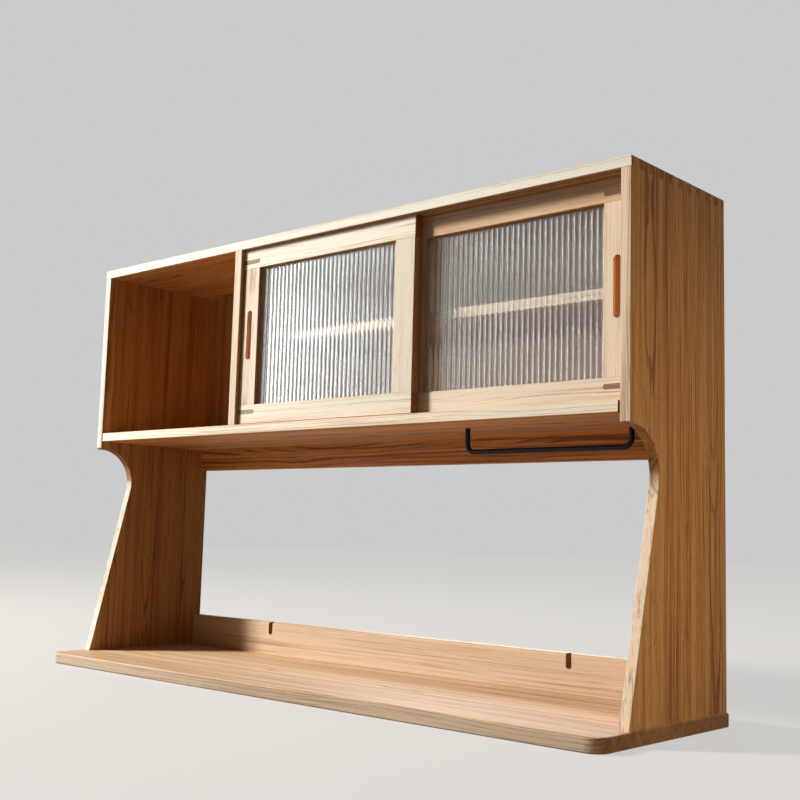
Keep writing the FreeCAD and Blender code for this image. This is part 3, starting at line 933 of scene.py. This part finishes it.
@dataclass
class Carcass:
    """The boards that stay still.

    Attributes:
        boards: Finish of each board.
        dowels: Direction of the grain of each set of dowels.
        dowel_stave: Breadth of the wood that the dowels were cut from.
        dowel_seed: First number for the grain of the dowels.
    """

    boards: dict[str, BoardFinish] = field(default_factory=lambda: {
        # Tones partly stand in for light and shade: the left side is darker as painted shade in the cubby,
        # the inner shelf darker as painted shade behind panes that cast no shadow, and the bottom board and
        # upper back rail brighter as painted light on their shaded faces under the box
        "worktop": BoardFinish(OAK, Axis.X, Axis.Y, stave=0.14, seed=2, painted_front_light=0.42, painted_top_light=0.6),
        "left_side": BoardFinish(OAK, Axis.Z, Axis.Y, seed=5, tone=0.82, painted_front_light=0.76, unlit_below=-0.14),
        "right_side": BoardFinish(BOLD_OAK, Axis.Z, Axis.Y, stave=0.145, seed=6, tone=1.05, painted_front_light=0.5,
                                  unlit_below=-0.14),
        "top_board": BoardFinish(OAK, Axis.X, Axis.Y, seed=13, painted_front_light=0.92, painted_light_reach=0.01, painted_top_light=0.5),
        "bottom_board": BoardFinish(OAK, Axis.X, Axis.Y, seed=21, tone=1.08, painted_front_light=0.80, painted_light_reach=0.01,
                                    painted_top_light=0.25),
        "partition": BoardFinish(OAK, Axis.Z, Axis.Y, stave=0.10, sawing=Sawing.RIFT, seed=4, painted_front_light=0.62),
        "inner_shelf": BoardFinish(OAK, Axis.X, Axis.Y, stave=0.09, sawing=Sawing.RIFT, seed=9, tone=0.6,
                                   painted_front_light=0.85),
        "cubby_back": BoardFinish(OAK, Axis.Z, Axis.X, stave=0.12, seed=14, tone=0.88, painted_front_light=0.0),
        "cupboard_back": BoardFinish(OAK, Axis.Z, Axis.X, stave=0.12, seed=23, tone=1.08, painted_front_light=0.88),
        "upper_back_rail": BoardFinish(BOLD_OAK, Axis.X, Axis.Z, stave=0.20, seed=12, tone=1.14, painted_front_light=0.0),
        "lower_back_rail": BoardFinish(CALM_OAK, Axis.X, Axis.Z, stave=0.20, sawing=Sawing.RIFT, seed=17,
                                       tone=1.12, painted_front_light=0.48, painted_top_light=0.8),
    })
    dowels: dict[str, Axis] = field(default_factory=lambda: {
        "partition_dowels": Axis.Z, "back_rail_dowels": Axis.X, "side_dowels": Axis.Z})
    dowel_stave: float = 0.05
    dowel_seed: int = 31

    def build(self) -> None:
        """Dress the boards and the dowels inside them."""
        for node, finish in self.boards.items():
            dress_board(node, finish)
        for number, (node, grain) in enumerate(self.dowels.items()):
            finish = BoardFinish(OAK, grain, Axis.Y, self.dowel_stave, Sawing.RIFT, self.dowel_seed + number)
            dress_board(node, finish)


@dataclass
class ReededPane:
    """Pane whose front is a row of round ribs.

    Attributes:
        door: Name of the door that it rides on.
        pitch: Breadth of one rib.
        relief: How far a rib stands out.
        facets: Faces across one rib.
        crease: Least angle between faces that stays sharp.
        weld: Distance within which points are one.
    """

    door: str
    pitch: float = 0.012
    relief: float = 0.0018
    facets: int = 14
    crease: float = math.radians(30)
    weld: float = 1e-6

    def outline(self, low: Vector, high: Vector) -> list[tuple[float, float]]:
        """Section of the pane, seen from above.

        Args:
            low: Lowest corner of the pane's box.
            high: Highest corner of the pane's box.

        Returns:
            Points as x and y, once round the section.
        """
        count = int((high.x - low.x) / self.pitch)
        start = (low.x + high.x - count * self.pitch) / 2
        half = self.pitch / 2
        bow = (half ** 2 + self.relief ** 2) / (2 * self.relief)
        points = [(low.x, high.y), (low.x, low.y + self.relief)]
        for rib in range(count):
            for facet in range(self.facets):
                off = self.pitch * facet / self.facets - half
                rise = math.sqrt(bow ** 2 - off ** 2) - (bow - self.relief)
                points.append((start + rib * self.pitch + half + off, low.y + self.relief - rise))
        points.append((start + count * self.pitch, low.y + self.relief))
        points += [(high.x, low.y + self.relief), (high.x, high.y)]
        return points

    def build(self, material: bpy.types.Material) -> None:
        """Make the pane in its door.

        Args:
            material: The glass.
        """
        node = self.door + "_glass"
        low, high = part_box(node)
        section = self.outline(low, high)
        form = bmesh.new()
        foot = [form.verts.new((x, y, low.z)) for x, y in section]
        head = [form.verts.new((x, y, high.z)) for x, y in section]
        form.faces.new(reversed(foot))
        form.faces.new(head)
        for index in range(len(section)):
            after = (index + 1) % len(section)
            form.faces.new((foot[index], foot[after], head[after], head[index]))
        bmesh.ops.remove_doubles(form, verts=form.verts, dist=self.weld)
        bmesh.ops.recalc_face_normals(form, faces=form.faces)
        mesh = bpy.data.meshes.new(self.door + "_reeded_pane")
        form.to_mesh(mesh)
        form.free()
        mesh.polygons.foreach_set("use_smooth", [True] * len(mesh.polygons))
        mesh.set_sharp_from_angle(angle=self.crease)
        mesh.materials.append(material)
        pane = bpy.data.objects.new(mesh.name, mesh)
        bpy.context.scene.collection.objects.link(pane)
        pane.visible_shadow = False
        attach(pane, self.door)
        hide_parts(node)
        LOG.info("made %s", pane.name)


@dataclass
class SlidingDoor:
    """One framed glass door.

    Attributes:
        name: Name of the door and its body.
        seed: First number for the grain of its pieces.
        painted_front_light: How much painted light its front has.
        top_light_share: Share of that painted light on its top rail, set lower on a rail in the top board's
            shadow as painted shade.
        stile_light_share: Share of that painted light on its stiles.
        pull_skin: Depth behind the front beyond which recesses get only a small share of the painted light.
        stave: Breadth of the boards that its pieces were cut from.
        key_stave: The same for its corner keys.
        key_light_drop: How much less painted light its corner keys have.
        bead_tone: Brightness of its glazing beads.
    """

    name: str
    seed: int
    painted_front_light: float
    top_light_share: float = 1.0
    stile_light_share: float = 0.78
    pull_skin: float = 0.0015
    stave: float = 0.30
    key_light_drop: float = 0.45
    key_stave: float = 0.05
    bead_tone: float = 0.95

    def build(self, glass: bpy.types.Material, steel: bpy.types.Material,
              nylon: bpy.types.Material) -> None:
        """Dress the frame and set the pane.

        Args:
            glass: Material of the pane.
            steel: Material of the bead pins.
            nylon: Material of the glides.
        """
        rail_light_shares = {"top_rail": self.top_light_share, "bottom_rail": 1.0}
        for number, piece in enumerate(("top_rail", "bottom_rail", "outer_stile", "inner_stile")):
            grain, breadth = (Axis.X, Axis.Z) if piece in rail_light_shares else (Axis.Z, Axis.X)
            sawing = Sawing.FLAT if piece == "bottom_rail" else Sawing.RIFT
            painted_front_light = self.painted_front_light * rail_light_shares.get(piece, self.stile_light_share)
            hollow = Hollow() if piece == "outer_stile" else None
            finish = BoardFinish(DOOR_OAK, grain, breadth, self.stave, sawing, self.seed + number,
                                 painted_front_light=painted_front_light, painted_light_reach=self.pull_skin, hollow=hollow)
            dress_board(f"{self.name}_{piece}", finish)
        beads = BoardFinish(OAK, Axis.X, Axis.Z, self.stave, Sawing.RIFT, self.seed + 5, self.bead_tone)
        dress_board(self.name + "_glazing_beads", beads)
        keys = BoardFinish(WALNUT, Axis.X, Axis.Z, self.key_stave, Sawing.RIFT, self.seed + 6,
                           painted_front_light=self.painted_front_light - self.key_light_drop)
        dress_board(self.name + "_corner_keys", keys)
        dress(self.name + "_bead_pins", steel)
        dress(self.name + "_glides", nylon)
        ReededPane(self.name).build(glass)


# Painted light: the left door gets more of it than the right, standing in for the lamps at the left; the
# right door's top rail gets less, as painted shade under the top board
LEFT_DOOR = SlidingDoor("left_door", seed=40, painted_front_light=0.92)
RIGHT_DOOR = SlidingDoor("right_door", seed=60, painted_front_light=0.64, top_light_share=0.55, stile_light_share=0.9)


@dataclass
class Fixings:
    """The black rod, and the metal that shows little: screws, pins and sockets.

    Attributes:
        steel_nodes: Nodes of plated steel.
        rod: Node of the coated rod.
    """

    steel_nodes: tuple[str, ...] = ("back_screws", "worktop_screws", "shelf_pins", "towel_rail_inserts",
                                    "base_inserts")
    rod: str = "towel_rail"

    def build(self, steel: bpy.types.Material, coat: bpy.types.Material) -> None:
        """Dress them.

        Args:
            steel: Material of the fixings.
            coat: Material of the rod.
        """
        for node in self.steel_nodes:
            dress(node, steel)
        dress(self.rod, coat)


@dataclass(frozen=True)
class PhotoCamera:
    """Camera at the photograph's place.

    Attributes:
        eye: Where it stands, in metres.
        yaw: Turn to the left of straight back, in degrees.
        pitch: Tilt upwards, in degrees.
        roll: Turn about the line of sight, in degrees.
        focal: Focal length in picture points.
        centre: Point of the picture on the line of sight.
        picture: Side of the picture in points.
        film: Breadth of the film in millimetres.
    """

    eye: tuple[float, float, float] = (1.7190, -1.7501, 0.3190)
    yaw: float = 42.067
    pitch: float = 6.903
    roll: float = 1.610
    focal: float = 1163.8
    centre: tuple[float, float] = (398.9, 394.7)
    picture: float = 800.0
    film: float = 36.0

    def build(self) -> None:
        """Add the camera and make it the scene's own."""
        yaw, pitch, roll = (math.radians(angle) for angle in (self.yaw, self.pitch, self.roll))
        ahead = Vector((-math.sin(yaw) * math.cos(pitch), math.cos(yaw) * math.cos(pitch), math.sin(pitch)))
        right = Vector((math.cos(yaw), math.sin(yaw), 0.0))
        up = right.cross(ahead)
        across = right * math.cos(roll) + up * math.sin(roll)
        upright = up * math.cos(roll) - right * math.sin(roll)
        data = bpy.data.cameras.new("photo_camera")
        data.sensor_width = self.film
        data.lens = self.focal / self.picture * self.film
        data.shift_x = (self.picture / 2 - self.centre[0]) / self.picture
        data.shift_y = (self.centre[1] - self.picture / 2) / self.picture
        camera = bpy.data.objects.new("photo_camera", data)
        turn = Matrix((across, upright, -ahead)).transposed().to_4x4()
        camera.matrix_world = Matrix.Translation(self.eye) @ turn
        bpy.context.scene.collection.objects.link(camera)
        bpy.context.scene.camera = camera


@dataclass(frozen=True)
class Lamp:
    """Soft panel of light.

    Attributes:
        name: Name of the lamp.
        place: Where it stands.
        aim: Point that it faces.
        size: Breadth and height.
        power: Watts.
        colour: Colour of the light.
        glint: Whether it shows in gloss and glass.
        lights: Whether it falls on matt surfaces.
        spread: Width of its beam, in degrees.
        spares_floor: Whether a flag keeps its light off the floor.
    """

    name: str
    place: tuple[float, float, float]
    aim: tuple[float, float, float]
    size: tuple[float, float]
    power: float
    colour: Colour = (1.0, 1.0, 1.0)
    glint: bool = True
    lights: bool = True
    spread: float = 180.0
    spares_floor: bool = False

    def build(self, floor: bpy.types.Object) -> None:
        """Add the lamp.

        Args:
            floor: The floor under the hutch.
        """
        data = bpy.data.lights.new(self.name, "AREA")
        data.shape = "RECTANGLE"
        data.size, data.size_y = self.size
        data.energy = self.power
        data.color = self.colour
        data.spread = math.radians(self.spread)
        lamp = bpy.data.objects.new(self.name, data)
        lamp.location = self.place
        lamp.visible_diffuse = self.lights
        lamp.visible_glossy = self.glint
        lamp.visible_transmission = self.glint
        if self.spares_floor:
            flag = bpy.data.collections.new(self.name + "_flag")
            flag.objects.link(floor)
            flag.collection_objects[0].light_linking.link_state = "EXCLUDE"
            lamp.light_linking.receiver_collection = flag
        lamp.rotation_euler = (Vector(self.aim) - Vector(self.place)).to_track_quat("-Z", "Y").to_euler()
        bpy.context.scene.collection.objects.link(lamp)


DAYLIGHT: Colour = (0.92, 0.965, 0.99)
SKYLIGHT: Colour = (0.86, 0.95, 1.0)
WARM_BOUNCE: Colour = (1.0, 0.835, 0.66)


@dataclass
class Studio:
    """Pale floor, even sky and soft lamps.

    Attributes:
        ambient: Light from all round on the hutch.
        backdrop: Colour of the backdrop as it is seen.
        floor_glow: Brightness that lifts the floor to the backdrop.
        floor_side: Half of the side of the floor.
        floor_tone: Colour of the floor.
        floor_sheen: Colour of its brightness.
        floor_rough: Roughness of the floor.
        mottle_scale: Patches of the floor per metre.
        mottle_shade: Tone of its darker patches against the paler ones.
        lamps: The lamps.
    """

    ambient: Colour = (0.024, 0.0152, 0.0070)
    backdrop: Colour = (0.60, 0.60, 0.60)
    floor_glow: float = 0.54
    floor_side: float = 16.0
    floor_tone: Colour = (0.17, 0.148, 0.12)
    floor_sheen: Colour = (1.0, 1.0, 0.99)
    floor_rough: float = 0.8
    mottle_scale: float = 3.0
    mottle_shade: float = 0.97
    lamps: tuple[Lamp, ...] = (
        Lamp("key", (-3.80, -3.12, 3.95), (0.0, -0.1, 0.60), (0.85, 1.6), 630.0, glint=False),
        Lamp("low_window", (-4.27, -1.82, 1.02), (0.0, -0.1, 0.32), (1.6, 1.44), 71.0, DAYLIGHT,
             lights=False),
        Lamp("high_window", (-4.27, -1.82, 2.43), (0.0, -0.1, 1.73), (1.6, 0.94), 47.0, DAYLIGHT,
             lights=False),
        Lamp("side_window", (-3.47, -3.12, 1.6), (0.0, -0.1, 0.9), (1.3, 2.6), 52.0, SKYLIGHT,
             lights=False),
        Lamp("fill", (3.6, 0.05, 0.42), (0.75, 0.05, 0.34), (0.3, 0.6), 1.42, WARM_BOUNCE, spread=40.0),
        Lamp("back", (-2.2, 3.4, 0.95), (0.0, 0.2, 0.55), (1.6, 1.6), 48.0, spares_floor=True),
    )

    def build(self) -> None:
        """Add the floor, the sky and the lamps."""
        floor = self._floor()
        self._sky()
        for lamp in self.lamps:
            lamp.build(floor)
        bpy.context.scene.view_settings.view_transform = "Standard"

    def _floor(self) -> bpy.types.Object:
        """Plain pale floor under the hutch.

        Returns:
            The floor.
        """
        side = self.floor_side
        mesh = bpy.data.meshes.new("floor")
        corners = [(x * side, y * side, 0.0) for x, y in ((-1, -1), (1, -1), (1, 1), (-1, 1))]
        mesh.from_pydata(corners, [], [(0, 1, 2, 3)])
        sheet = NodeSheet("pale_floor")
        place = sheet.add("ShaderNodeTexCoord").outputs["Object"]
        mottle = sheet.noise(place, self.mottle_scale, 3.0).outputs["Fac"]
        shade = tuple(channel * self.mottle_shade for channel in self.floor_tone)
        sheet.set(Base_Color=sheet.mix(mottle, self.floor_tone, shade), Roughness=self.floor_rough)
        path = sheet.add("ShaderNodeLightPath")
        seen = sheet.math("MAXIMUM", path.outputs["Is Camera Ray"], path.outputs["Is Glossy Ray"])
        seen = sheet.math("MAXIMUM", seen, path.outputs["Is Transmission Ray"])
        sheet.set(Emission_Color=self.floor_sheen, Emission_Strength=sheet.times(seen, self.floor_glow))
        mesh.materials.append(sheet.material)
        floor = bpy.data.objects.new("floor", mesh)
        bpy.context.scene.collection.objects.link(floor)
        return floor

    def _sky(self) -> None:
        """Even light from all round, seen as a pale backdrop."""
        world = bpy.data.worlds.new("sky")
        world.use_nodes = True
        tree = world.node_tree
        tree.nodes.clear()
        path = tree.nodes.new("ShaderNodeLightPath")
        background = tree.nodes.new("ShaderNodeBackground")
        output = tree.nodes.new("ShaderNodeOutputWorld")
        seen = path.outputs["Is Camera Ray"]
        for ray in ("Is Glossy Ray", "Is Transmission Ray"):
            either = tree.nodes.new("ShaderNodeMath")
            either.operation = "MAXIMUM"
            tree.links.new(seen, either.inputs[0])
            tree.links.new(path.outputs[ray], either.inputs[1])
            seen = either.outputs[0]
        level = tree.nodes.new("ShaderNodeMix")
        level.data_type = "RGBA"
        level.inputs[6].default_value = (*self.ambient, 1.0)
        level.inputs[7].default_value = (*self.backdrop, 1.0)
        tree.links.new(seen, level.inputs[0])
        tree.links.new(level.outputs[2], background.inputs["Color"])
        tree.links.new(background.outputs["Background"], output.inputs["Surface"])
        bpy.context.scene.world = world


def main() -> None:
    """Build the hutch's looks and the studio round it."""
    logging.basicConfig(level=logging.INFO, format="%(name)s: %(message)s")
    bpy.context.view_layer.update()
    glass = GlassFinish().material("reeded_glass")
    steel = SteelFinish().material("zinc_steel")
    nylon = NylonFinish().material("nylon")
    coat = CoatedMetalFinish().material("black_coat")
    Carcass().build()
    for door in (LEFT_DOOR, RIGHT_DOOR):
        door.build(glass, steel, nylon)
    Fixings().build(steel, coat)
    PhotoCamera().build()
    Studio().build()


if __name__ == "__main__":
    main()
